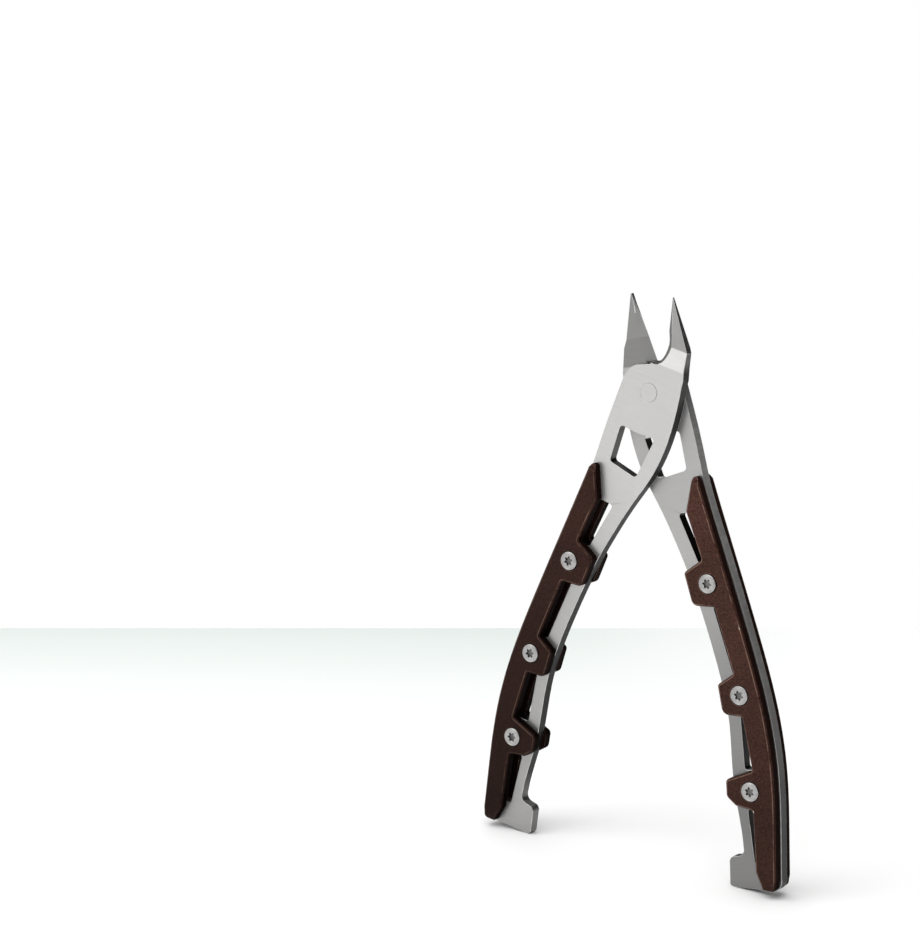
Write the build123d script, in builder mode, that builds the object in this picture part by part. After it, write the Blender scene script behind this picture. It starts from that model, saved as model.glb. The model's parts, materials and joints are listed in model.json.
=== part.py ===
from build123d import *

import os
from math import cos, radians, sin

# Sprue nippers: two flat steel plates lapped on a flush pivot rivet, opened by a hidden leaf spring. Each plate
# is one handle and the opposite jaw. Painted metal scales are screwed on both faces of both handles, into
# threaded barrels that pass through the plate.
#
# Frame: +Z up along the tool with the jaws at the top, X across the handles, Y through the plates with the front
# face towards -Y. The origin is on the ground under the pivot, between the two feet. The tool stands open.
#
# Each half is drawn in its closed pose with the pivot at (0, 0): "out" is the distance from the tool's middle
# line towards that half's own handle, and "up" is the height above the pivot. side is -1 for the half whose
# handle is on the left, which owns the front plate, and +1 for the half that owns the rear plate.

# ------------------------------------------------------------------ driving dimensions, mm and degrees
HALF_OPEN = 13.3  # each half's turn from the closed pose
PLATE = 2.5  # thickness of a plate
LAP_GAP = 0.04  # running gap between the two plates
SCALE = 2.2  # thickness of a handle scale

FOOT = (1.8, -108.05)  # middle of the round at the lowest corner of a tail hook
FOOT_R = 0.95
PIVOT_HEIGHT = FOOT_R - FOOT[0] * sin(radians(HALF_OPEN)) - FOOT[1] * cos(radians(HALF_OPEN))

# head
HEAD_OUT = 7.45  # half width of the head, on the jaw's side
SHOULDER_UP = 6.6  # height of the sloping shoulder at the middle line
SHOULDER = ((4.6, 4.8), (6.2, 3.2), (6.95, 1.5))  # round of the shoulder
HEAD_BASE = 4.4  # the jaw is drawn from this height up
WINDOW_TOP = ((4.7, -8.9), (0.1, -9.4), (-4.5, -8.8))
WINDOW_BOTTOM = ((-2.2, -19.0), (5.1, -17.7))
WINDOW_CORNER = 0.9

# jaws
TIP_UP = 21.7
TIP_HALF = 0.35  # half width of the closed jaws at the tip
TIP_FRONT = -3.2  # depth of both jaws' front faces at the tip
TIP_EDGE = -2.75  # depth of the cutting edges at the tip
TIP_BACK = -2.3  # depth of the rear jaw's back face at the tip
FRONT_OUTER = ((6.35, 11.0), (6.85, 8.0), (HEAD_OUT, 5.2))  # outer side of the front jaw, below the tip
REAR_OUTER = ((6.2, 10.2), (7.0, 6.8), (HEAD_OUT, 5.0))  # outer side of the rear jaw
BAND_START = 6.6  # the front jaw's sloping band runs from here to the throat's top
BAND_SINK = 0.6  # and sinks this far behind the plate's face
LEAN_START = 12.0  # the rear jaw and both cutting edges lean forward from here
BACK_LEAN_START = 10.5  # the rear jaw's back face leans forward from here
REAR_EDGE_SINK = 0.4  # depth of the rear jaw's cutting edge behind its front face
EDGE_MEET = 14.0  # the cutting edges meet from here to the tip
EDGE_CLEAR = 0.02  # gap left on each cutting edge when closed
THROAT_LOW = 6.5
THROAT_TOP = 11.0
# distances from the middle line of the cutting edge and of the ridge in front of it, at the throat's foot and top
FRONT_EDGE = (-1.3, 0.55)
FRONT_RIDGE = (-0.2, 2.3)
REAR_EDGE = (-1.7, -0.42)  # at the throat's foot and at LEAN_START, and straight between
REAR_RIDGE = (0.1, 2.05)
# the hollow above the throat, as (height, edge, ridge)
FRONT_HOLLOW = ((LEAN_START, 0.37, 2.1), (EDGE_MEET, EDGE_CLEAR, 1.75), (TIP_UP, EDGE_CLEAR, TIP_HALF))
REAR_HOLLOW = (
    (LEAN_START, REAR_EDGE[1], 2.0),
    (13.5, -0.35, 1.82),
    (17.5, -0.15, 0.82),
    (19.0, EDGE_CLEAR, 0.45),
    (TIP_UP, EDGE_CLEAR, 0.12),
)
BACK_SLOPE = 0.85  # sideways slope of the rear jaw's back bevel, up to LEAN_START
TIP_SLOPE = 0.3  # and at the tip
CUT_MARGIN = 1.0  # how far cutting shapes stand proud of a face

# pivot
RIVET_R = 1.8
RIVET_FRONT_R = 2.15
RIVET_REAR_R = 2.6
RIVET_CONE = 0.8  # depth of each flush head
RIVET_CLEAR = 0.03
SPRING_POCKET = (2.5, 5.6)  # radii of the ring pocket
SPRING_POCKET_DEPTH = 0.8
SPRING_BAND = 0.4
SPRING_HEIGHT = 1.4
SPRING_HALF_TURNS = 5
SPRING_MARGIN = 0.35  # gap from the spring to the pocket's walls, to its middle line

# screws and barrels, as (out, up) on each half
SCREWS = ((7.5, -42.3), (11.3, -66.7), (10.5, -87.6))
HEAD_R = 2.1
HEAD_HEIGHT = 1.1
HEAD_CHAMFER = 0.22
HEAD_SEAT = 0.8
SEAT_R = 2.25
SHANK_R = 1.2
SHANK_CLEAR = 0.05
SHANK_LENGTH = 2.4
BARREL_R = 1.9
BARREL_BORE = 1.23
BARREL_INTO_SCALE = 0.7
SOCKET_R = 0.78
SOCKET_LOBE_R = 0.3
SOCKET_DEPTH = 0.8

# outlines, as (out, up); the outer curve of the handle is shared by the plates and the scales
HANDLE_OUTER = (
    (9.1, -20.3),
    (11.6, -35.3),
    (14.6, -53.3),
    (16.9, -72.0),
    (16.9, -84.0),
    (15.5, -96.0),
    (13.8, -107.2),
)
NECK_OUTER = ((7.5, -3.0), (8.1, -8.0), (8.55, -13.0))
PLATE_INNER = (
    (5.5, -100.4),
    (5.6, -95.5),
    (5.35, -88.0),
    (5.7, -81.5),
    (6.5, -72.0),
    (5.9, -62.5),
    (4.2, -51.5),
    (1.55, -39.3),
    (-0.6, -32.0),
    (-3.2, -24.6),
    (-5.9, -17.7),
    (-7.6, -9.5),
    (-7.85, -3.5),
    (-HEAD_OUT, HEAD_BASE),
)
PLATE_TOE = ((13.1, -109.1), (11.2, -109.85))  # round at the outer lower corner of a plate
HOOK_TOP = ((2.5, -102.3), (1.75, -102.8), (1.45, -103.8))  # round at the top of the tail hook
HOOK_CREASE = ((4.1, -102.2), (5.1, -101.6))  # round between the tail hook and the handle

# slots through a handle, each from its top inner corner round to its bottom inner corner
SLOTS = (
    ((1.4, -26.8), (5.6, -26.8), (8.2, -37.9), (4.7, -37.9)),
    ((6.7, -47.4), (11.0, -47.4), (13.0, -62.4), (9.2, -62.4)),
    ((9.6, -71.2), (13.9, -71.2), (13.7, -83.3), (8.7, -83.3)),
    ((8.0, -91.8), (12.6, -91.8), (11.2, -104.1), (7.8, -104.1)),
)
SLOT_CORNER = 0.7

# end and inner side of a scale from its toe up to its nose, as (out, up, radius of the corner)
SCALE_INNER = (
    (12.6, -109.7, 1.0),
    (9.9, -109.2, 0.5),
    (8.8, -105.2, 1.0),
    (10.3, -91.8, 0.6),
    (6.3, -90.7, 1.6),
    (4.3, -88.6, 1.4),
    (4.7, -84.9, 1.1),
    (11.6, -83.1, 0.6),
    (11.0, -71.4, 0.5),
    (6.3, -70.7, 1.7),
    (6.1, -64.2, 0.9),
    (10.4, -62.1, 0.6),
    (8.1, -47.5, 0.5),
    (2.8, -46.8, 1.7),
    (1.8, -39.5, 0.9),
    (6.7, -37.1, 0.6),
    (4.6, -26.4, 0.8),
    (7.3, -19.2, 0.65),
    (8.3, -19.2, 0.65),
)
SCALE_MARGIN = 0.3  # rim of the plate left bare along the outer side of a scale
SCALE_CHAMFER = 0.4
# a scale's face falls away at the nose and at the toe: where each slope starts, where it ends, and its depth there
SCALE_SLOPES = ((-21.0, -19.0, 0.9), (-108.2, -110.0, 0.8))

TURN = radians(HALF_OPEN)
PIVOT_AXIS = Axis((0, 0, PIVOT_HEIGHT), (0, 1, 0))


def front_view(side, depth):
    """Drawing plane of one half at a depth, seen from the front; extruding goes towards the front."""
    return Plane(
        origin=(0, depth, PIVOT_HEIGHT),
        x_dir=(cos(TURN), 0, side * sin(TURN)),
        z_dir=(0, -1, 0),
    )


def top_view(side, up):
    """Plane across one half at a height above the pivot, with its second direction towards the back."""
    rise = Vector(-side * sin(TURN), 0, cos(TURN))
    return Plane(
        origin=Vector(0, 0, PIVOT_HEIGHT) + rise * up,
        x_dir=(cos(TURN), 0, side * sin(TURN)),
        z_dir=rise,
    )


def side_view(side):
    """Plane through the pivot seen from the side: its directions are depth and height."""
    return Plane(
        origin=(0, 0, PIVOT_HEIGHT),
        x_dir=(0, 1, 0),
        z_dir=(cos(TURN), 0, side * sin(TURN)),
    )


def on_side(side, points):
    """Points given as (out, up), placed on the half's own side."""
    return [(side * out, up) for out, up in points]


def plate_depths(side):
    """Depths of a plate's front and back faces."""
    if side < 0:
        return -LAP_GAP / 2 - PLATE, -LAP_GAP / 2
    return LAP_GAP / 2, LAP_GAP / 2 + PLATE


def between(value, start, end):
    """Where value lies between start and end, from 0 to 1."""
    return min(1.0, max(0.0, (value - start) / (end - start)))


def mix(start, end, share):
    return start + (end - start) * share


# ------------------------------------------------------------------ jaws
def jaw_front(side, up):
    """Depth of a jaw's front face: the front one sinks first, and both then lean forward."""
    face, _ = plate_depths(side)
    if side > 0:
        return mix(face, TIP_FRONT, between(up, LEAN_START, TIP_UP))
    sunk = face + BAND_SINK * between(up, BAND_START, THROAT_TOP)
    return mix(sunk, TIP_FRONT, between(up, THROAT_TOP, TIP_UP))


def jaw_edge(side, up):
    """Depth of the cutting edge."""
    face, back = plate_depths(side)
    start = back if side < 0 else face + REAR_EDGE_SINK
    return mix(start, TIP_EDGE, between(up, LEAN_START, TIP_UP))


def jaw_back(side, up):
    """Depth of a jaw's back face; the front jaw's is the plane of the cutting edge."""
    if side < 0:
        return jaw_edge(side, up)
    _, back = plate_depths(side)
    return mix(back, TIP_BACK, between(up, BACK_LEAN_START, TIP_UP))


def hollow_sections(side):
    """Heights of the hollow's sections with the places of the cutting edge and of the ridge in front."""
    edges, ridges = (FRONT_EDGE, FRONT_RIDGE) if side < 0 else (REAR_EDGE, REAR_RIDGE)
    sections = []
    for angle in range(0, 91, 15):
        share = sin(radians(angle))
        up = mix(THROAT_TOP, THROAT_LOW, cos(radians(angle)))
        edge = mix(*edges, share if side < 0 else between(up, THROAT_LOW, LEAN_START))
        sections.append((up, edge, mix(*ridges, share)))
    return [*sections, *(FRONT_HOLLOW if side < 0 else REAR_HOLLOW)]


def make_hollow(side):
    """The space cut away beside a cutting edge, in front of it and, on the rear jaw, behind it too."""
    beyond = -HEAD_OUT - CUT_MARGIN
    with BuildPart() as hollow:
        for up, edge, ridge in hollow_sections(side):
            depth = jaw_edge(side, up)
            front = jaw_front(side, up)
            back = jaw_back(side, up) + CUT_MARGIN
            spread = (ridge - edge) / (depth - front)
            section = [(edge, depth), (ridge + spread * CUT_MARGIN, front - CUT_MARGIN)]
            section += [(beyond, front - CUT_MARGIN), (beyond, back)]
            if side < 0:
                section.append((edge, back))
            else:
                slope = mix(BACK_SLOPE, TIP_SLOPE, between(up, LEAN_START, TIP_UP))
                section.append((edge + slope * (back - depth), back))
            with BuildSketch(top_view(side, up)):
                with BuildLine():
                    Polyline(*on_side(-side, section), close=True)
                make_face()
        loft(ruled=True)
    return hollow.part


def make_jaw(side):
    """One jaw, on the other side of the middle line from its handle."""
    shoulder_end, slope = SHOULDER[0], (SHOULDER[0][1] - SHOULDER_UP) / SHOULDER[0][0]
    foot = -(FRONT_EDGE if side < 0 else REAR_EDGE)[0]
    meet = (0, EDGE_MEET) if side < 0 else (REAR_EDGE[1], LEAN_START)
    outline = [(-shoulder_end[0], HEAD_BASE), (-shoulder_end[0], shoulder_end[1])]
    outline += [(-foot, SHOULDER_UP + slope * foot), (-foot, THROAT_LOW), meet]
    outline += [(0, TIP_UP), (TIP_HALF, TIP_UP)]
    outline += [*(FRONT_OUTER if side < 0 else REAR_OUTER), (HEAD_OUT, HEAD_BASE)]
    front_bends = (HEAD_BASE, BAND_START, THROAT_TOP, TIP_UP) if side < 0 else (HEAD_BASE, LEAN_START, TIP_UP)
    back_bends = (TIP_UP, LEAN_START if side < 0 else BACK_LEAN_START, HEAD_BASE)
    with BuildPart() as jaw:
        with BuildSketch(front_view(side, 2 * PLATE)):
            with BuildLine():
                Polyline(*on_side(-side, outline), close=True)
            make_face()
        extrude(amount=4 * PLATE)
        with BuildSketch(side_view(side)):
            with BuildLine():
                Polyline(
                    *[(jaw_front(side, up), up) for up in front_bends],
                    *[(jaw_back(side, up), up) for up in back_bends],
                    close=True,
                )
            make_face()
        extrude(amount=2 * HEAD_OUT, both=True, mode=Mode.INTERSECT)
        add(make_hollow(side), mode=Mode.SUBTRACT)
    return jaw.part


# ------------------------------------------------------------------ plates
def foot_round():
    """Start, middle and end of the round at the foot, tangent to the sole and to the hook's inner side."""
    angles = [radians(a) for a in (265, 220, 175)]
    return [(FOOT[0] + FOOT_R * cos(a), FOOT[1] + FOOT_R * sin(a)) for a in angles]


def plate_outline(side):
    """Outline of a plate without its jaw: head, neck, handle and tail hook."""
    foot = foot_round()
    with BuildSketch() as outline:
        with BuildLine():
            Line(*on_side(side, [(0, SHOULDER_UP), SHOULDER[0]]))
            ThreePointArc(*on_side(side, SHOULDER))
            Spline(*on_side(side, [SHOULDER[-1], *NECK_OUTER, *HANDLE_OUTER]))
            ThreePointArc(*on_side(side, [HANDLE_OUTER[-1], *PLATE_TOE]))
            Line(*on_side(side, [PLATE_TOE[-1], foot[0]]))
            ThreePointArc(*on_side(side, foot))
            Line(*on_side(side, [foot[-1], HOOK_TOP[-1]]))
            ThreePointArc(*on_side(side, HOOK_TOP))
            Line(*on_side(side, [HOOK_TOP[0], HOOK_CREASE[0]]))
            ThreePointArc(*on_side(side, [*HOOK_CREASE, PLATE_INNER[0]]))
            Spline(*on_side(side, PLATE_INNER))
            Polyline(*on_side(side, [PLATE_INNER[-1], (0, HEAD_BASE), (0, SHOULDER_UP)]))
        make_face()
    return outline.sketch


def window_outline(side):
    """Outline of the four-sided window under the pivot, whose top is a shallow arc."""
    with BuildSketch() as outline:
        with BuildLine():
            ThreePointArc(*on_side(side, WINDOW_TOP))
            Polyline(*on_side(side, [WINDOW_TOP[-1], *WINDOW_BOTTOM, WINDOW_TOP[0]]))
        make_face()
        fillet(outline.vertices(), radius=WINDOW_CORNER)
    return outline.sketch


def make_blade(side):
    """A plate: one handle and the opposite jaw, in one piece of steel."""
    face, back = plate_depths(side)
    with BuildPart() as blade:
        with BuildSketch(front_view(side, back)):
            add(plate_outline(side))
        extrude(amount=PLATE)
        add(make_jaw(side))
        with BuildSketch(front_view(side, back)):
            add(window_outline(side))
        extrude(amount=PLATE, mode=Mode.SUBTRACT)
        for corners in SLOTS:
            with BuildSketch(front_view(side, back)) as slot:
                with BuildLine():
                    Polyline(*on_side(side, corners), close=True)
                make_face()
                fillet(slot.vertices(), radius=SLOT_CORNER)
            extrude(amount=PLATE, mode=Mode.SUBTRACT)
        with BuildSketch(front_view(side, back)):
            with Locations(*on_side(side, SCREWS)):
                Circle(BARREL_R)
        extrude(amount=PLATE, mode=Mode.SUBTRACT)
        # spring pocket in the lapped face
        pocket_depth = back if side < 0 else face + SPRING_POCKET_DEPTH
        with BuildSketch(front_view(side, pocket_depth)):
            Circle(SPRING_POCKET[1])
            Circle(SPRING_POCKET[0], mode=Mode.SUBTRACT)
        extrude(amount=SPRING_POCKET_DEPTH, mode=Mode.SUBTRACT)
        add(make_rivet_space(side), mode=Mode.SUBTRACT)
    return blade.part


# ------------------------------------------------------------------ pivot
def rivet_profile(side, slack):
    """Half section of the rivet in one plate: a shank and a cone that ends flush with the outer face."""
    face, back = plate_depths(side)
    outer = face if side < 0 else back
    inner = back if side < 0 else face
    cone = outer - side * RIVET_CONE
    rim = RIVET_FRONT_R if side < 0 else RIVET_REAR_R + slack
    with BuildSketch() as profile:
        with BuildLine():
            Polyline(
                (0, inner),
                (RIVET_R + slack, inner),
                (RIVET_R + slack, cone),
                (rim, outer),
                (0, outer),
                close=True,
            )
        make_face()
    return profile.sketch


def make_rivet_space(side):
    """The rivet is tight in the front plate and runs freely in the rear one."""
    with BuildPart() as space:
        with BuildSketch(Plane.XY.offset(PIVOT_HEIGHT)):
            add(rivet_profile(side, 0 if side < 0 else RIVET_CLEAR))
        revolve(axis=PIVOT_AXIS)
    return space.part


def make_rivet():
    with BuildPart() as rivet:
        for side in (-1, 1):
            with BuildSketch(Plane.XY.offset(PIVOT_HEIGHT)):
                add(rivet_profile(side, 0))
            revolve(axis=PIVOT_AXIS)
        with BuildSketch(Plane.XZ.offset(-LAP_GAP / 2)):
            with Locations((0, PIVOT_HEIGHT)):
                Circle(RIVET_R)
        extrude(amount=LAP_GAP)
    return rivet.part


def make_spring():
    """A flat leaf spring wound in the ring pocket, of half turns whose radius grows by even steps."""
    inner = SPRING_POCKET[0] + SPRING_MARGIN
    outer = SPRING_POCKET[1] - SPRING_MARGIN
    step = (outer - inner) / SPRING_HALF_TURNS
    with BuildPart() as spring:
        with BuildSketch(Plane.XZ.offset(-SPRING_HEIGHT / 2)):
            with BuildLine() as leaf:
                start = (inner, PIVOT_HEIGHT)
                for count in range(SPRING_HALF_TURNS):
                    hand = 1 if count % 2 == 0 else -1
                    reach = abs(start[0]) + step
                    end = (-hand * reach, PIVOT_HEIGHT)
                    radius = (abs(start[0]) + reach) / 2
                    middle = ((start[0] + end[0]) / 2, PIVOT_HEIGHT + hand * radius)
                    ThreePointArc(start, middle, end)
                    start = end
            trace(leaf.wires(), line_width=SPRING_BAND)
        extrude(amount=SPRING_HEIGHT)
    return spring.part


# ------------------------------------------------------------------ scales
def scale_outline(side):
    """Outline of a scale: a long outer curve, a rounded nose and three lobes that carry the screws."""
    outer = [(out - SCALE_MARGIN, up) for out, up in HANDLE_OUTER]
    inner = [outer[-1], *[(out, up) for out, up, _ in SCALE_INNER], outer[0]]
    with BuildSketch() as outline:
        with BuildLine():
            Spline(*on_side(side, outer))
            FilletPolyline(*on_side(side, inner), radius=[radius for *_, radius in SCALE_INNER])
        make_face()
    return outline.sketch


def make_scale(side, towards):
    """A scale on one face of a handle; towards is -1 for the front face and +1 for the back face."""
    face, back = plate_depths(side)
    seat = face if towards < 0 else back
    outer = seat + towards * SCALE
    rear = max(seat, outer)
    with BuildPart() as scale:
        with BuildSketch(front_view(side, rear)):
            add(scale_outline(side))
        extrude(amount=SCALE)
        rim = scale.faces().sort_by(Axis.Y)[0 if towards < 0 else -1].edges()
        chamfer(rim, length=SCALE_CHAMFER)
        for start, end, depth in SCALE_SLOPES:
            with BuildSketch(side_view(side)):
                with BuildLine():
                    Polyline((outer, start), (outer - towards * depth, end), (outer, end), close=True)
                make_face()
            extrude(amount=2 * HEAD_OUT, both=True, mode=Mode.SUBTRACT)
        with BuildSketch(front_view(side, outer if towards > 0 else outer + HEAD_SEAT)):
            with Locations(*on_side(side, SCREWS)):
                Circle(SEAT_R)
        extrude(amount=HEAD_SEAT, mode=Mode.SUBTRACT)
        with BuildSketch(front_view(side, rear)):
            with Locations(*on_side(side, SCREWS)):
                Circle(SHANK_R + SHANK_CLEAR)
        extrude(amount=SCALE, mode=Mode.SUBTRACT)
        with BuildSketch(front_view(side, seat if towards < 0 else seat + BARREL_INTO_SCALE)):
            with Locations(*on_side(side, SCREWS)):
                Circle(BARREL_R)
        extrude(amount=BARREL_INTO_SCALE, mode=Mode.SUBTRACT)
    return scale.part


# ------------------------------------------------------------------ fasteners
def make_screw(side, towards, place):
    """A flat six-lobe screw in its seat in a scale."""
    face, back = plate_depths(side)
    seat = face if towards < 0 else back
    underside = seat + towards * (SCALE - HEAD_SEAT)
    crown = underside + towards * HEAD_HEIGHT
    tip = underside - towards * SHANK_LENGTH
    with BuildPart() as screw:
        with BuildSketch(front_view(side, max(underside, crown))):
            with Locations(*on_side(side, [place])):
                Circle(HEAD_R)
        extrude(amount=HEAD_HEIGHT)
        crown_face = screw.faces().sort_by(Axis.Y)[0 if towards < 0 else -1]
        chamfer(crown_face.edges(), length=HEAD_CHAMFER)
        with BuildSketch(front_view(side, max(underside, tip))):
            with Locations(*on_side(side, [place])):
                Circle(SHANK_R)
        extrude(amount=SHANK_LENGTH)
        with BuildSketch(front_view(side, crown if towards > 0 else crown + SOCKET_DEPTH)):
            with Locations(*on_side(side, [place])):
                Circle(SOCKET_R)
                with PolarLocations(SOCKET_R, 6):
                    Circle(SOCKET_LOBE_R)
        extrude(amount=SOCKET_DEPTH, mode=Mode.SUBTRACT)
    return screw.part


def make_barrel(side, place):
    """A threaded barrel through the plate, which locates both scales and takes a screw from each side."""
    _, back = plate_depths(side)
    with BuildPart() as barrel:
        with BuildSketch(front_view(side, back + BARREL_INTO_SCALE)):
            with Locations(*on_side(side, [place])):
                Circle(BARREL_R)
                Circle(BARREL_BORE, mode=Mode.SUBTRACT)
        extrude(amount=PLATE + 2 * BARREL_INTO_SCALE)
    return barrel.part


# ------------------------------------------------------------------ the pieces, one file each
def write(part, name):
    part.label = name
    export_step(part, f"parts/{name}.step")


os.makedirs("parts", exist_ok=True)
HALVES = {"left": -1, "right": 1}
FACES = {"front": -1, "back": 1}

write(make_blade(-1), "front_blade")
write(make_blade(1), "rear_blade")
write(make_rivet(), "pivot_rivet")
write(make_spring(), "return_spring")
for half, side in HALVES.items():
    for number, place in enumerate(SCREWS, start=1):
        write(make_barrel(side, place), f"barrel_{half}_{number}")
    for face_name, towards in FACES.items():
        write(make_scale(side, towards), f"scale_{half}_{face_name}")
        for number, place in enumerate(SCREWS, start=1):
            write(make_screw(side, towards, place), f"screw_{half}_{face_name}_{number}")
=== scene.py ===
import json
from math import cos, pi, radians, sin, tau

import bmesh
import bpy
from mathutils import Matrix, Vector
from mathutils.bvhtree import BVHTree


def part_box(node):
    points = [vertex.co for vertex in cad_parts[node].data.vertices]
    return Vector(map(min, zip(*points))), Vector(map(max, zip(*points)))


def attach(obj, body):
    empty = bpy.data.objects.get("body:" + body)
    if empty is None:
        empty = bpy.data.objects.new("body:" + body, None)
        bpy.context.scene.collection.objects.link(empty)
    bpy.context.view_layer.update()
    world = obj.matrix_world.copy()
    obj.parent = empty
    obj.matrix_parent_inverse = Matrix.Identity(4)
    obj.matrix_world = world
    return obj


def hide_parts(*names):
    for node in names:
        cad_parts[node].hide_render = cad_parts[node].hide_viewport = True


# Looks for the sprue nippers: ground steel plates with fine brushed grain and rounded edges, painted scales
# worn to copper along their edges, six-lobe screws, a plain pale table and soft studio light. Lengths are in
# metres.

MM = 0.001

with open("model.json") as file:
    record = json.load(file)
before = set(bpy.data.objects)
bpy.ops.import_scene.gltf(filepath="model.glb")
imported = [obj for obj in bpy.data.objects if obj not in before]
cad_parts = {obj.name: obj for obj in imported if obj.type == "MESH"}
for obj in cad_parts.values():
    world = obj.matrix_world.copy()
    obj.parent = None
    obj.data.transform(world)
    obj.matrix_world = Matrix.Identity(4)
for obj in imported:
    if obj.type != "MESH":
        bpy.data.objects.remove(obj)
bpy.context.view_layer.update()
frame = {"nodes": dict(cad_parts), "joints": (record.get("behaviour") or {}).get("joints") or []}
PIVOT = Vector(frame["joints"][0]["pos_m"])
TURN = radians(frame["joints"][0]["range_deg"][1]) / 2  # each half's turn from the closed pose
SIDES = {"left": -1, "right": 1}
BODIES = {"left": "front_half", "right": "rear_half"}
FACES = {"front": -1, "back": 1}


# ------------------------------------------------------------------ places on a half of the tool
def half_axes(side):
    """Directions out towards the half's handle and up along it, in the frame."""
    out = Vector((side * cos(TURN), 0, sin(TURN)))
    up = Vector((-side * sin(TURN), 0, cos(TURN)))
    return out, up


def in_half(point, side):
    """Distances out and up from the pivot on one half."""
    out, up = half_axes(side)
    arm = Vector(point) - PIVOT
    return arm.dot(out), arm.dot(up)


# ------------------------------------------------------------------ material nodes
def fill(socket, value, tree):
    """Link a socket, or set its value."""
    if isinstance(value, bpy.types.NodeSocket):
        tree.links.new(value, socket)
    else:
        socket.default_value = value


def node(tree, kind, inputs=None, **settings):
    """Add one shader node, with its settings and inputs by name or number."""
    made = tree.nodes.new("ShaderNode" + kind)
    for name, value in settings.items():
        setattr(made, name, value)
    for name, value in (inputs or {}).items():
        fill(made.inputs[name], value, tree)
    return made


def math_node(tree, operation, first, second=0.0, clamp=False):
    inputs = {0: first, 1: second}
    return node(tree, "Math", inputs, operation=operation, use_clamp=clamp).outputs[0]


def blend(tree, share, first, second):
    """Mix of two colours."""
    made = node(tree, "Mix", data_type="RGBA")
    for number, value in ((0, share), (6, first), (7, second)):
        fill(made.inputs[number], value, tree)
    return made.outputs[2]


def spread(tree, value, low, high, start=0.0, end=1.0):
    """Stretch a value from low..high to start..end, and hold it there."""
    inputs = {"Value": value, "From Min": low, "From Max": high, "To Min": start, "To Max": end}
    return node(tree, "MapRange", inputs).outputs["Result"]


def noise(tree, place, scale, detail=2.0, rough=0.5):
    inputs = {"Vector": place, "Scale": scale, "Detail": detail, "Roughness": rough}
    return node(tree, "TexNoise", inputs).outputs["Fac"]


def layered(tree, main, extra):
    """Three parts of one noise with one part of another."""
    main_part = math_node(tree, "MULTIPLY", main, 0.75)
    extra_part = math_node(tree, "MULTIPLY", extra, 0.25)
    return math_node(tree, "ADD", main_part, extra_part)


def stretched(tree, place, scales):
    """Coordinates multiplied by a scale along each axis."""
    return node(tree, "VectorMath", {0: place, 1: scales}, operation="MULTIPLY").outputs[0]


def relief(tree, surface, strength, distance, height):
    """Fine bumps on a surface from a value."""
    bump = node(tree, "Bump", {"Strength": strength, "Distance": distance, "Height": height})
    tree.links.new(bump.outputs[0], surface.inputs["Normal"])


def grey(value, warmth=0.0):
    """A near-grey colour, redder with more warmth."""
    return (value * (1 + warmth), value, value * (1 - warmth), 1)


def start_material(name):
    """A new material with an empty tree, and its surface node."""
    made = bpy.data.materials.new(name)
    made.use_nodes = True
    tree = made.node_tree
    tree.nodes.clear()
    surface = node(tree, "BsdfPrincipled")
    output = node(tree, "OutputMaterial")
    tree.links.new(surface.outputs[0], output.inputs[0])
    return made, tree, surface


def half_coords(tree, side):
    """Object coordinates turned so that X runs across the half's handle and Z runs along it."""
    place = node(tree, "TexCoord").outputs["Object"]
    inputs = {"Vector": place, "Center": tuple(PIVOT), "Angle": side * TURN}
    return node(tree, "VectorRotate", inputs, rotation_type="Y_AXIS").outputs[0]


def tint(tree, colour, share):
    """A colour scaled by a value."""
    return node(tree, "VectorMath", {0: colour, "Scale": share}, operation="SCALE").outputs[0]


def painted_light_by_height(tree, place, tones):
    """A value that runs straight between (height above the pivot in mm, value) points."""
    up = math_node(tree, "SUBTRACT", node(tree, "SeparateXYZ", {0: place}).outputs["Z"], PIVOT.z)
    value = tones[0][1]
    for (low, _), (high, level) in zip(tones, tones[1:]):
        value = node(tree, "Mix", {0: spread(tree, up, low * MM, high * MM), 2: value, 3: level}).outputs[0]
    return value


GRAIN_SCALES = (160, 160, 9000)  # per metre: the grain is long across the handle and fine along it
MARK_SCALES = (2600, 260, 2600)  # per metre: the marks on a cut wall run through the thickness


def brushed_steel(name, side, tones):
    """Steel with a fine ground grain across the handle, and painted light and shade by height."""
    made, tree, surface = start_material(name)
    place = half_coords(tree, side)
    streaks = stretched(tree, place, GRAIN_SCALES)
    fine = noise(tree, streaks, 1.0, 3.0, 0.65)
    wide = noise(tree, streaks, 0.45, 1.0)
    cloud = noise(tree, place, 90.0, 2.0)
    grain = layered(tree, fine, wide)
    tone = blend(tree, spread(tree, grain, 0.3, 0.7), grey(0.94, 0.012), grey(1.03, 0.008))
    tone = blend(tree, spread(tree, cloud, 0.35, 0.7, 0.0, 0.1), tone, grey(0.85, 0.015))
    fill(surface.inputs["Base Color"], tint(tree, tone, painted_light_by_height(tree, place, tones)), tree)
    fill(surface.inputs["Roughness"], spread(tree, grain, 0.25, 0.75, 0.39, 0.33), tree)
    surface.inputs["Metallic"].default_value = 0.85
    surface.inputs["Anisotropic"].default_value = 0.4
    tangent = node(tree, "Tangent", direction_type="UV_MAP", uv_map="grain")
    tree.links.new(tangent.outputs[0], surface.inputs["Tangent"])
    relief(tree, surface, 0.15, 0.01 * MM, grain)
    return made


def worn_and_highlit_edge_steel(name):
    """Bright steel for broken edges, partly polished by handling and partly a painted highlight, with duller
    patches.
    """
    made, tree, surface = start_material(name)
    place = node(tree, "TexCoord").outputs["Object"]
    patches = noise(tree, place, 700.0, 3.0)
    tone = blend(tree, spread(tree, patches, 0.35, 0.65), grey(0.48, 0.01), grey(0.72, 0.01))
    fill(surface.inputs["Base Color"], tone, tree)
    fill(surface.inputs["Roughness"], spread(tree, patches, 0.3, 0.7, 0.42, 0.26), tree)
    surface.inputs["Metallic"].default_value = 1.0
    return made


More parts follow.
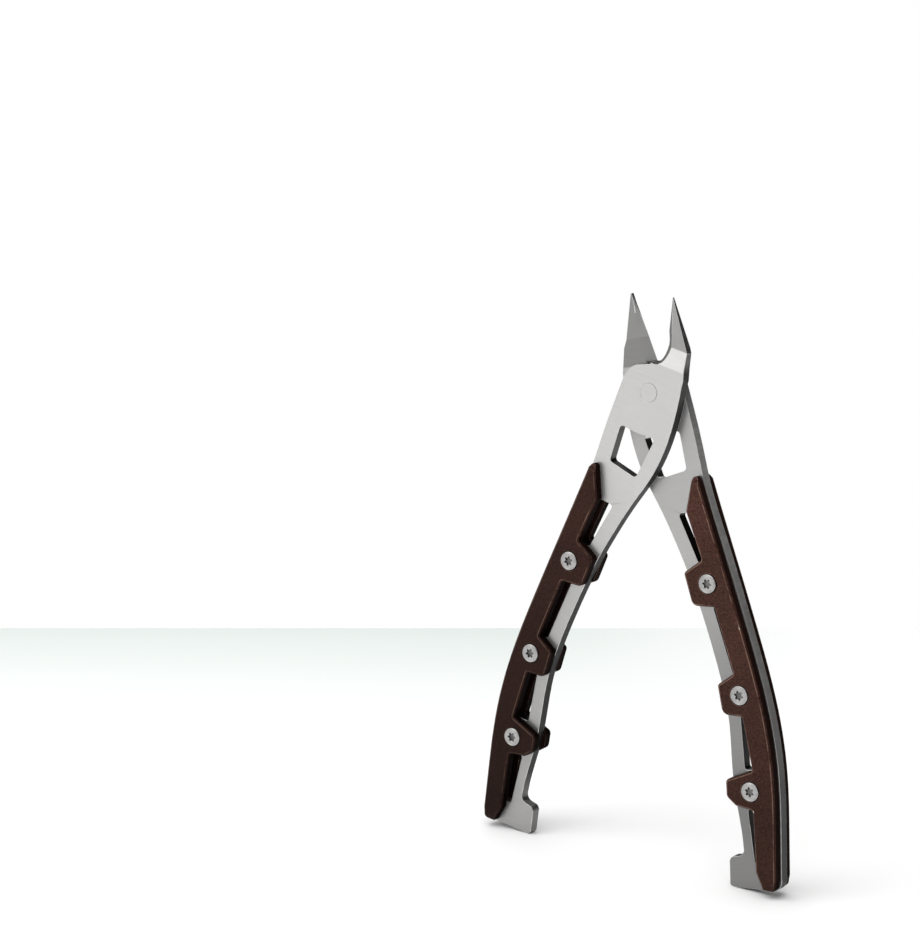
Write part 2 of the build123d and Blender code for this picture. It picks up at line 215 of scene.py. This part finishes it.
def cut_wall_steel(name, side, tones):
    """Steel of the cut walls, with faint marks through the thickness, and painted light and shade by height.
    """
    made, tree, surface = start_material(name)
    place = half_coords(tree, side)
    marks = noise(tree, stretched(tree, place, MARK_SCALES), 1.0, 2.0)
    cloud = noise(tree, place, 160.0, 2.0)
    tone = blend(tree, spread(tree, marks, 0.3, 0.7), grey(0.92, 0.01), grey(1.06, 0.02))
    tone = blend(tree, spread(tree, cloud, 0.4, 0.7, 0.0, 0.2), tone, grey(0.75, 0.02))
    fill(surface.inputs["Base Color"], tint(tree, tone, painted_light_by_height(tree, place, tones)), tree)
    fill(surface.inputs["Roughness"], spread(tree, marks, 0.3, 0.7, 0.42, 0.5), tree)
    surface.inputs["Metallic"].default_value = 1.0
    relief(tree, surface, 0.12, 0.01 * MM, marks)
    return made


PAINT_DARK = (0.040, 0.0165, 0.0125, 1)
PAINT_LIGHT = (0.060, 0.025, 0.019, 1)
PAINT_FLAKE = (0.17, 0.088, 0.064, 1)
PAINT_SPECK = (0.014, 0.008, 0.007, 1)
BARE_COPPER = (0.24, 0.145, 0.11)
CHIPPED_STEEL = (0.62, 0.54, 0.46, 1)


def flake_paint(tree, side, tones):
    """The dark bronze paint, cloudy brown with metallic flake and painted shade by height: its colour, its
    flake and its coordinates.
    """
    place = half_coords(tree, side)
    cloud = noise(tree, place, 110.0, 3.0)
    flake = noise(tree, place, 3600.0, 2.0, 0.7)
    speck = noise(tree, place, 1900.0, 1.0)
    tone = blend(tree, spread(tree, cloud, 0.3, 0.7), PAINT_DARK, PAINT_LIGHT)
    tone = blend(tree, spread(tree, flake, 0.5, 0.72, 0.0, 0.6), tone, PAINT_FLAKE)
    tone = blend(tree, spread(tree, speck, 0.5, 0.72, 0.0, 0.6), tone, PAINT_SPECK)
    return tint(tree, tone, painted_light_by_height(tree, place, tones)), flake, place


def finish_paint(tree, surface, flake, metallic, rough, gloss=0.08):
    """Gloss and texture shared by the paints."""
    fill(surface.inputs["Metallic"], metallic, tree)
    fill(surface.inputs["Roughness"], rough, tree)
    surface.inputs["Specular IOR Level"].default_value = gloss
    relief(tree, surface, 0.35, 0.03 * MM, flake)


def bronze_paint(name, side, tones):
    """The full coat on a scale's front or back face."""
    made, tree, surface = start_material(name)
    tone, flake, _ = flake_paint(tree, side, tones)
    fill(surface.inputs["Base Color"], tone, tree)
    sheen = spread(tree, flake, 0.4, 0.7, 0.25, 0.7)
    finish_paint(tree, surface, flake, sheen, spread(tree, flake, 0.3, 0.7, 0.5, 0.38))
    return made


def shaded_wall_paint(name, side, tones):
    """The paint on a scale's walls, darkened to a quarter as painted shade."""
    made, tree, surface = start_material(name)
    tone, flake, _ = flake_paint(tree, side, tones)
    fill(surface.inputs["Base Color"], tint(tree, tone, 0.25), tree)
    finish_paint(tree, surface, flake, 0.0, spread(tree, flake, 0.3, 0.7, 0.6, 0.48), gloss=0.01)
    return made


def worn_paint_edge(name, side, tones):
    """The paint along a scale's edges, rubbed to copper in runs and chipped to steel in spots."""
    made, tree, surface = start_material(name)
    tone, flake, place = flake_paint(tree, side, tones)
    runs = noise(tree, place, 130.0, 3.0, 0.65)
    bits = noise(tree, place, 900.0, 2.0, 0.6)
    rubbed = spread(tree, layered(tree, runs, bits), 0.40, 0.56)
    chips = spread(tree, noise(tree, place, 420.0, 2.0, 0.5), 0.69, 0.73)
    # the bare copper takes the same painted shade by height
    tone = blend(tree, rubbed, tone, tint(tree, BARE_COPPER, painted_light_by_height(tree, place, tones)))
    tone = blend(tree, chips, tone, CHIPPED_STEEL)
    fill(surface.inputs["Base Color"], tone, tree)
    metallic = math_node(tree, "MAXIMUM", spread(tree, rubbed, 0, 1, 0.3, 0.85), chips)
    finish_paint(tree, surface, flake, metallic, spread(tree, bits, 0.3, 0.7, 0.48, 0.34))
    return made


def satin_steel(name, bright, rough):
    """Turned and plated steel, with light clouding and fine scratches."""
    made, tree, surface = start_material(name)
    place = node(tree, "TexCoord").outputs["Object"]
    cloud = noise(tree, place, 600.0, 3.0, 0.6)
    scratch = noise(tree, place, 4200.0, 2.0, 0.6)
    tone = blend(tree, spread(tree, cloud, 0.35, 0.65), grey(bright * 0.85, 0.01), grey(bright, 0.01))
    tone = blend(tree, spread(tree, scratch, 0.55, 0.75, 0.0, 0.4), tone, grey(bright * 0.6, 0.01))
    fill(surface.inputs["Base Color"], tone, tree)
    fill(surface.inputs["Roughness"], spread(tree, cloud, 0.3, 0.7, rough + 0.06, rough - 0.06), tree)
    surface.inputs["Metallic"].default_value = 1.0
    relief(tree, surface, 0.15, 0.02 * MM, scratch)
    return made


# ------------------------------------------------------------------ finished copies of the CAD pieces
WELD = 0.03 * MM  # points closer than this are one point
STRAY = 0.03 * MM  # a rounded corner may stand this far outside the CAD surface
LEVEL = 0.9995  # a face at least this square to the front is shaded exactly flat
SHARP = 28.0  # degrees between two faces from which their edge is rounded
PLATE_SHARP = 19  # and on a plate, whose ground bevels are shallow
PLATE_ROUND = 0.08 * MM  # widths of the rounded edges
SCALE_ROUND = 0.12 * MM
RIVET_ROUND = 0.05 * MM
GRAIN_UV = 10  # UV units per metre


def clean_mesh(node_name):
    """A welded copy of a CAD node's mesh."""
    made = bmesh.new()
    made.from_mesh(frame["nodes"][node_name].data)
    bmesh.ops.remove_doubles(made, verts=made.verts, dist=WELD)
    return made


def pull_in_strays(mesh, old):
    """Bring the points that a bevel has thrown outside the old surface back onto it."""
    points = [vertex.co for vertex in old.vertices]
    faces = [tuple(face.vertices) for face in old.polygons]
    surface = BVHTree.FromPolygons(points, faces)
    for vertex in mesh.vertices:
        spot, normal, _, _ = surface.find_nearest(vertex.co)
        if (vertex.co - spot).dot(normal) > STRAY:
            vertex.co = spot


def shade_level_faces(mesh):
    """Shade front and back faces by their own direction, and leave the others as they are."""
    directions = [Vector(corner.vector) for corner in mesh.corner_normals]
    for face in mesh.polygons:
        if abs(face.normal.y) > LEVEL:
            for loop in face.loop_indices:
                directions[loop] = face.normal.copy()
    mesh.normals_split_custom_set(directions)


def break_edges(piece, width, edge_slot, sharp=SHARP):
    """Round the sharp edges by a small width, and shade the broad faces flat beside them."""
    piece.data.shade_smooth()
    bevel = piece.modifiers.new("broken_edges", "BEVEL")
    bevel.width = width
    bevel.segments = 2
    bevel.limit_method = "ANGLE"
    bevel.angle_limit = radians(sharp)
    bevel.use_clamp_overlap = False
    bevel.material = edge_slot
    bevel.face_strength_mode = "FSTR_ALL"
    flat = piece.modifiers.new("flat_faces", "WEIGHTED_NORMAL")
    flat.use_face_influence = True
    flat.keep_sharp = False
    view = bpy.context.evaluated_depsgraph_get()
    finished = bpy.data.meshes.new_from_object(piece.evaluated_get(view))
    shade_level_faces(finished)
    piece.modifiers.clear()
    old = piece.data
    pull_in_strays(finished, old)
    piece.data = finished
    bpy.data.meshes.remove(old)


def lay_grain(piece, side):
    """A UV map whose U runs out across the half's faces, or through the thickness on its walls."""
    mesh = piece.data
    layer = mesh.uv_layers.new(name="grain")
    for face in mesh.polygons:
        for loop in face.loop_indices:
            spot = mesh.vertices[mesh.loops[loop].vertex_index].co
            out, up = in_half(spot, side)
            if abs(face.normal.y) > 0.5:
                layer.data[loop].uv = (out * GRAIN_UV, up * GRAIN_UV)
            else:
                layer.data[loop].uv = (spot.y * GRAIN_UV, (out + up) * GRAIN_UV)


def add_piece(name, made, body, stands_for, materials):
    """Put a bmesh in the scene as one piece that rides on a body and stands for a CAD node."""
    mesh = bpy.data.meshes.new(name)
    made.to_mesh(mesh)
    made.free()
    piece = bpy.data.objects.new(name, mesh)
    bpy.context.scene.collection.objects.link(piece)
    for material in materials:
        mesh.materials.append(material)
    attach(piece, body)
    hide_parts(stands_for)
    return piece


FLAT, EDGE, WALL, INNER_WALL = range(4)  # material slots of a plate; a scale has the first three

# painted light and shade on the steel of each half, as (height above the pivot in mm, value): painted shade
# darkening it towards the bottom and over the right half
LEFT_FACE = (
    (-100, 0.35),
    (-88, 0.345),
    (-66, 0.395),
    (-45, 0.455),
    (-20, 0.56),
    (6.6, 0.58),
    # painted highlight on the left jaw's bright band
    (6.9, 0.77),
    (10.9, 0.77),
    (11.2, 0.33),
)
# painted shade on the left half's walls, near black, a little lighter at the foot and above the throat
LEFT_WALL = (
    (-104, 0.2),
    (-100, 0.15),
    (-95, 0.03),
    (-66, 0.018),
    (-40, 0.012),
    (-25, 0.015),
    (-10, 0.04),
    (6.6, 0.06),
    (9, 0.24),
)
# painted shade inside the handle's slots
LEFT_SLOT_WALL = ((-25, 0.01), (-22, 0.1))
RIGHT_FACE = (
    (-104, 0.22),
    (-97, 0.19),
    (-77, 0.24),
    (-58, 0.285),
    (-37, 0.42),
    (-10, 0.43),
    (5.9, 0.45),
    # painted shade on the right jaw above the throat
    (6.2, 0.25),
)
# painted light on the right half's outer wall, fading to painted shade at its foot and jaw
RIGHT_WALL = (
    (-98, 0.05),
    (-87, 0.074),
    (-75, 0.22),
    (-62, 0.5),
    (-48, 0.62),
    (-36, 0.85),
    (-8, 0.85),
    (6, 0.1),
)
# painted shade inside the handle's slots
RIGHT_SLOT_WALL = ((-25, 0.02), (-22, 0.1))
PLATES = {
    "left": ("front_blade", LEFT_FACE, LEFT_WALL, LEFT_SLOT_WALL),
    "right": ("rear_blade", RIGHT_FACE, RIGHT_WALL, RIGHT_SLOT_WALL),
}
# painted light and shade on the paint of each half, in the same way: painted shade darkening it towards the
# bottom, and darker overall on the left half
PAINT_TONES = {
    "left": ((-105, 0.3), (-85, 0.33), (-66, 0.4), (-25, 0.65)),
    "right": ((-105, 0.6), (-25, 1.1)),
}

WALL_TURN = 0.35  # a face turned less than this to the front or back is a wall
HOLLOW_START = 6.2 * MM  # the throat is above this height
LOOKS_ACROSS = 0.25  # least turn of a throat wall towards its own handle
LOOKS_UP = 0.3  # least turn upwards of the ledge at the throat's foot
SLOT_REACH = 9 * MM  # a wall that faces another within this is inside a slot
OFF_WALL = 0.05 * MM  # how far off the wall's own surface that test starts
SOFT_BEND = (11.2, 13.0)  # the jaw's bend lies at these heights in mm, and gets no bright line of worn steel and painted highlight
BEND_TURN = 0.8  # where its edge faces the front or back at least this squarely
THROAT_EDGES = (6.3, 6.8)  # the throat's edges at these heights in mm take the walls' painted shade
WORN_TURN = 0.72  # a scale's edge is worn where it faces the front or back at least this squarely
LOW_TURN = 0.5  # and below this it takes the walls' painted shade


def in_hollow(face, side):
    """Whether a face belongs to the front jaw's hollow or to the ledge at the throat's foot."""
    _, up = in_half(face.calc_center_median(), side)
    out_way, up_way = half_axes(side)
    faces_throat = side < 0 and face.normal.dot(out_way) > LOOKS_ACROSS
    return up > HOLLOW_START and (faces_throat or face.normal.dot(up_way) > LOOKS_UP)


def wall_slot(face, side, walls):
    """The material of a plate's wall: one that looks across at another wall is inside a slot, and takes the
    slot's painted shade.
    """
    centre = face.calc_center_median()
    _, up = in_half(centre, side)
    start = centre + face.normal * OFF_WALL
    inside = up < 0 and walls.ray_cast(start, face.normal, SLOT_REACH)[0] is not None
    return INNER_WALL if inside else WALL


def finish_blade(half):
    """A plate with rounded edges, brushed faces, and painted shade on its walls, slots and jaw; returns its
    materials.
    """
    side = SIDES[half]
    node_name, tones, wall_tones, inner_tones = PLATES[half]
    made = clean_mesh(node_name)
    made.normal_update()
    walls = BVHTree.FromBMesh(made)
    for face in made.faces:
        # the front jaw's hollow and the ledge at the throat's foot take the walls' painted shade
        is_wall = abs(face.normal.y) < WALL_TURN or in_hollow(face, side)
        face.material_index = wall_slot(face, side, walls) if is_wall else FLAT
    materials = [
        brushed_steel(f"plate_steel_{half}", side, tones),
        worn_and_highlit_edge_steel(f"plate_edge_{half}"),
        cut_wall_steel(f"plate_wall_{half}", side, wall_tones),
        cut_wall_steel(f"slot_wall_{half}", side, inner_tones),
    ]
    piece = add_piece(f"{node_name}_finish", made, BODIES[half], node_name, materials)
    break_edges(piece, PLATE_ROUND, EDGE, sharp=PLATE_SHARP)
    for face in piece.data.polygons:
        if face.material_index != EDGE:
            continue
        height = in_half(face.center, side)[1] / MM
        if SOFT_BEND[0] < height < SOFT_BEND[1] and abs(face.normal.y) > BEND_TURN:
            face.material_index = FLAT
        elif THROAT_EDGES[0] < height < THROAT_EDGES[1]:
            face.material_index = WALL
    lay_grain(piece, side)
    return materials


def finish_scale(half, face_name, materials):
    """A scale with rounded edges, worn where its front or back face meets the bevel."""
    node_name = f"scale_{half}_{face_name}"
    made = clean_mesh(node_name)
    made.normal_update()
    for face in made.faces:
        face.material_index = WALL if abs(face.normal.y) < WALL_TURN else FLAT
    piece = add_piece(f"{node_name}_finish", made, BODIES[half], node_name, materials)
    break_edges(piece, SCALE_ROUND, EDGE)
    for face in piece.data.polygons:
        if face.material_index == EDGE and abs(face.normal.y) < WORN_TURN:
            face.material_index = WALL if abs(face.normal.y) < LOW_TURN else FLAT


# ------------------------------------------------------------------ screws
HEAD_HEIGHT = 1.1 * MM
HEAD_ROUND = 0.22 * MM
ROUND_STEPS = 4
SHANK_R = 1.2 * MM
RING_AT = 0.83  # faint turned ring on the crown, as a share of the head's radius
RING_HALF = 0.05 * MM
RING_SINK = 0.035 * MM
STAR_OUT = 1.08 * MM
STAR_IN = 0.68 * MM
STAR_SINK = 0.55 * MM
STAR_CHAMFER = 0.07 * MM
STAR_TAPER = 0.97  # width of the socket at its floor, as a share of its mouth
STAR_DIMPLE = 0.15 * MM  # depth of the cone in the socket's floor
LOBES = 6
FLUTE_POWER = 1.25  # above 1, the flutes are tighter than the lobes
TURNS = 72  # points round a screw
CROWN, SOCKET = range(2)  # material slots of a screw
SCREW_SMOOTH = 32  # degrees between two faces up to which they are shaded as one
# radians that the socket is turned by, for each screw down the handle, on each side and on each face
SCREW_TURNS = (0.9, 0.35, 0.2)


def star_radius(angle):
    """Radius of the six-lobe socket at an angle: rounded lobes with tighter flutes between."""
    wave = 0.5 + 0.5 * cos(LOBES * angle)
    return STAR_IN + (STAR_OUT - STAR_IN) * wave**FLUTE_POWER


def plain(radius):
    """A radius that is the same at every angle."""
    return lambda angle: radius


def screw_profile(length, head_r):
    """Rings of a screw from its tip over its crown into its socket: height, radius at an angle, material."""
    ring = RING_AT * head_r
    profile = [
        (-length, plain(SHANK_R), CROWN),
        (-HEAD_HEIGHT, plain(SHANK_R), CROWN),
        (-HEAD_HEIGHT, plain(head_r), CROWN),
        (-HEAD_ROUND, plain(head_r), CROWN),
    ]
    for step in range(1, ROUND_STEPS + 1):
        angle = step * pi / (2 * ROUND_STEPS)
        profile.append((HEAD_ROUND * (sin(angle) - 1), plain(head_r - HEAD_ROUND * (1 - cos(angle))), CROWN))
    profile += [
        (0, plain(ring + RING_HALF), CROWN),
        (-RING_SINK, plain(ring), CROWN),
        (0, plain(ring - RING_HALF), CROWN),
        (0, lambda angle: star_radius(angle) + STAR_CHAMFER, CROWN),
        (-STAR_CHAMFER, star_radius, SOCKET),
        (-STAR_SINK, lambda angle: star_radius(angle) * STAR_TAPER, SOCKET),
    ]
    return profile


def ring_points(centre, axis_x, axis_y, axis_z, height, radius_at, turn):
    """Points of one ring round the screw's axis."""
    points = []
    for count in range(TURNS):
        angle = tau * count / TURNS
        radius = radius_at(angle)
        spot = axis_x * cos(angle + turn) + axis_y * sin(angle + turn)
        points.append(centre + spot * radius + axis_z * height)
    return points


def finish_screw(half, face_name, number, materials):
    """A satin screw with a rounded rim, a faint turned ring and a six-lobe socket."""
    node_name = f"screw_{half}_{face_name}_{number}"
    low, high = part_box(node_name)
    towards = FACES[face_name]
    crown = low.y if towards < 0 else high.y
    tip = high.y if towards < 0 else low.y
    head_r = (high.x - low.x) / 2
    centre = Vector(((low.x + high.x) / 2, crown, (low.z + high.z) / 2))
    axis_z = Vector((0, towards, 0))
    axis_x = Vector((1, 0, 0))
    axis_y = axis_z.cross(axis_x)
    down_handle, by_side, by_face = SCREW_TURNS
    turn = number * down_handle + SIDES[half] * by_side + towards * by_face
    profile = screw_profile(abs(tip - crown), head_r)
    made = bmesh.new()
    rings = []
    for height, radius_at, _ in profile:
        points = ring_points(centre, axis_x, axis_y, axis_z, height, radius_at, turn)
        rings.append([made.verts.new(p) for p in points])
    made.faces.new(rings[0])
    for (first, second), (_, _, part) in zip(zip(rings, rings[1:]), profile[1:]):
        for count in range(TURNS):
            after = (count + 1) % TURNS
            face = made.faces.new((first[count], first[after], second[after], second[count]))
            face.material_index = part
    floor = made.verts.new(centre + axis_z * (-STAR_SINK - STAR_DIMPLE))
    for count in range(TURNS):
        face = made.faces.new((rings[-1][count], rings[-1][(count + 1) % TURNS], floor))
        face.material_index = SOCKET
    bmesh.ops.recalc_face_normals(made, faces=made.faces)
    piece = add_piece(f"{node_name}_finish", made, BODIES[half], node_name, materials)
    piece.data.shade_smooth()
    piece.data.set_sharp_from_angle(angle=radians(SCREW_SMOOTH))


def finish_rivet(materials):
    """The rivet's heads, ground with the front plate and ringed by a hairline."""
    made = clean_mesh("pivot_rivet")
    piece = add_piece("pivot_rivet_finish", made, "front_half", "pivot_rivet", materials)
    break_edges(piece, RIVET_ROUND, WALL)
    lay_grain(piece, -1)


def finish_hidden_pieces():
    """Barrels and spring keep their CAD meshes and get their own steel."""
    turned = satin_steel("barrel_steel_turned", 0.5, 0.4)
    blued = satin_steel("spring_steel_blued", 0.16, 0.35)
    for name, piece in frame["nodes"].items():
        if name.startswith("barrel_") or name == "return_spring":
            piece.data.materials.clear()
            piece.data.materials.append(blued if name == "return_spring" else turned)


# ------------------------------------------------------------------ camera, table and light
CAMERA_AT = Vector((0.24722, -0.40254, 0.16888))
CAMERA_AIM = Vector((-0.5869, 0.7908, -0.1738))
CAMERA_UP = Vector((-0.1330, 0.1176, 0.9841))
SENSOR = 36.0  # mm
PICTURE_HEIGHT = 950
PICTURE_FOCAL = 2194.2  # focal length in the units of the picture's height
FOCAL = PICTURE_FOCAL / PICTURE_HEIGHT * SENSOR
TABLE_EDGE = 0.677  # from the camera to the table's back edge, over the ground
TABLE_TURN = radians(8.6)  # of the table's back edge from square to the camera's aim
TABLE_SIZE = (2.4, 1.9)
TABLE_WHITE = (0.95, 0.95, 0.95, 1)
TABLE_TINT = (0.70, 0.76, 0.735, 1)
BRIGHT_WAY = (-0.75, -0.6, 0.3)  # the side that the studio is brightest on
TOOL_MIDDLE = (0, 0, 0.06)


def add_camera():
    """The camera, aimed along CAMERA_AIM with CAMERA_UP upwards in its picture."""
    data = bpy.data.cameras.new("camera")
    data.sensor_width = SENSOR
    data.lens = FOCAL
    data.clip_start = 0.01
    data.clip_end = 20
    piece = bpy.data.objects.new("camera", data)
    bpy.context.scene.collection.objects.link(piece)
    back = -CAMERA_AIM.normalized()
    right = CAMERA_UP.cross(back).normalized()
    up = back.cross(right)
    turn = Matrix((right, up, back)).transposed().to_4x4()
    piece.matrix_world = Matrix.Translation(CAMERA_AT) @ turn
    bpy.context.scene.camera = piece


def table_material():
    """Near-white table with a pale green-grey tint that fades out from its back edge."""
    made, tree, surface = start_material("table")
    place = node(tree, "TexCoord").outputs["Object"]
    parts = node(tree, "SeparateXYZ", {0: place}).outputs
    depth = spread(tree, parts["Y"], 0.0, -0.17, 1.0, 0.0)
    side = spread(tree, parts["X"], 0.02, 0.13, 1.0, 0.0)
    share = math_node(tree, "MULTIPLY", math_node(tree, "POWER", depth, 1.6), side)
    mottle = spread(tree, noise(tree, place, 6.0, 2.0), 0.3, 0.7, 0.97, 1.0)
    tone = blend(tree, math_node(tree, "MULTIPLY", share, mottle), TABLE_WHITE, TABLE_TINT)
    fill(surface.inputs["Base Color"], tone, tree)
    surface.inputs["Roughness"].default_value = 0.6
    surface.inputs["Specular IOR Level"].default_value = 0.2
    return made


def add_table():
    """A flat table whose back edge lies nearly square to the camera's aim."""
    aim = Vector((CAMERA_AIM.x, CAMERA_AIM.y, 0)).normalized()
    edge = Vector((CAMERA_AT.x, CAMERA_AT.y, 0)) + aim * TABLE_EDGE
    ahead = Matrix.Rotation(TABLE_TURN, 3, "Z") @ aim
    across = Vector((ahead.y, -ahead.x, 0))
    wide, deep = TABLE_SIZE
    mesh = bpy.data.meshes.new("table")
    corners = [(-wide / 2, -deep, 0), (wide / 2, -deep, 0), (wide / 2, 0, 0), (-wide / 2, 0, 0)]
    mesh.from_pydata(corners, [], [(0, 1, 2, 3)])
    mesh.materials.append(table_material())
    piece = bpy.data.objects.new("table", mesh)
    turn = Matrix((across, ahead, Vector((0, 0, 1)))).transposed().to_4x4()
    piece.matrix_world = Matrix.Translation(edge) @ turn
    bpy.context.scene.collection.objects.link(piece)


def add_softbox(name, at, size, power):
    """A rectangular light that faces the tool: its place, width and height, and power in watts."""
    data = bpy.data.lights.new(name, "AREA")
    data.shape = "RECTANGLE"
    data.size, data.size_y = size
    data.energy = power
    piece = bpy.data.objects.new(name, data)
    bpy.context.scene.collection.objects.link(piece)
    piece.location = at
    piece.rotation_euler = (Vector(TOOL_MIDDLE) - Vector(at)).to_track_quat("-Z", "Y").to_euler()


def add_world():
    """A white backdrop for the camera, and a studio that darkens to the back right for everything else."""
    world = bpy.data.worlds.new("studio")
    bpy.context.scene.world = world
    world.use_nodes = True
    tree = world.node_tree
    tree.nodes.clear()
    place = node(tree, "TexCoord").outputs["Generated"]
    bright_way = tuple(Vector(BRIGHT_WAY).normalized())
    compare = node(tree, "VectorMath", {0: place, 1: bright_way}, operation="DOT_PRODUCT")
    facing = compare.outputs["Value"]
    strength = spread(tree, facing, -0.5, 0.8, 0.03, 0.9)
    room = node(tree, "Background", {"Color": grey(1.0, 0.004), "Strength": strength})
    backdrop = node(tree, "Background", {"Color": (1, 1, 1, 1), "Strength": 1.0})
    seen = node(tree, "LightPath").outputs["Is Camera Ray"]
    mixed = node(tree, "MixShader", {0: seen, 1: room.outputs[0], 2: backdrop.outputs[0]})
    output = node(tree, "OutputWorld")
    tree.links.new(mixed.outputs[0], output.inputs[0])


def add_lights():
    add_softbox("key", (-0.55, -0.75, 0.75), (0.7, 0.7), 3.2)
    add_softbox("top", (0.0, -0.05, 1.0), (1.2, 1.2), 8.4)
    add_softbox("fill", (0.5, -0.7, 0.35), (0.5, 0.5), 0.2)


# ------------------------------------------------------------------ the scene
bpy.context.scene.view_settings.view_transform = "Standard"
add_camera()
add_table()
add_world()
add_lights()

plate_materials = {half: finish_blade(half) for half in SIDES}
finish_rivet(plate_materials["left"])
# the socket's steel is darker than the crown's: painted shade in the recess
screw_materials = [satin_steel("screw_steel_satin", 0.42, 0.38), satin_steel("screw_socket", 0.2, 0.45)]
for half, side in SIDES.items():
    scale_materials = [
        bronze_paint(f"scale_face_{half}", side, PAINT_TONES[half]),
        worn_paint_edge(f"scale_edge_{half}", side, PAINT_TONES[half]),
        shaded_wall_paint(f"scale_wall_{half}", side, PAINT_TONES[half]),
    ]
    for face_name in FACES:
        finish_scale(half, face_name, scale_materials)
        for number in (1, 2, 3):
            finish_screw(half, face_name, number, screw_materials)
finish_hidden_pieces()

bpy.context.view_layer.update()
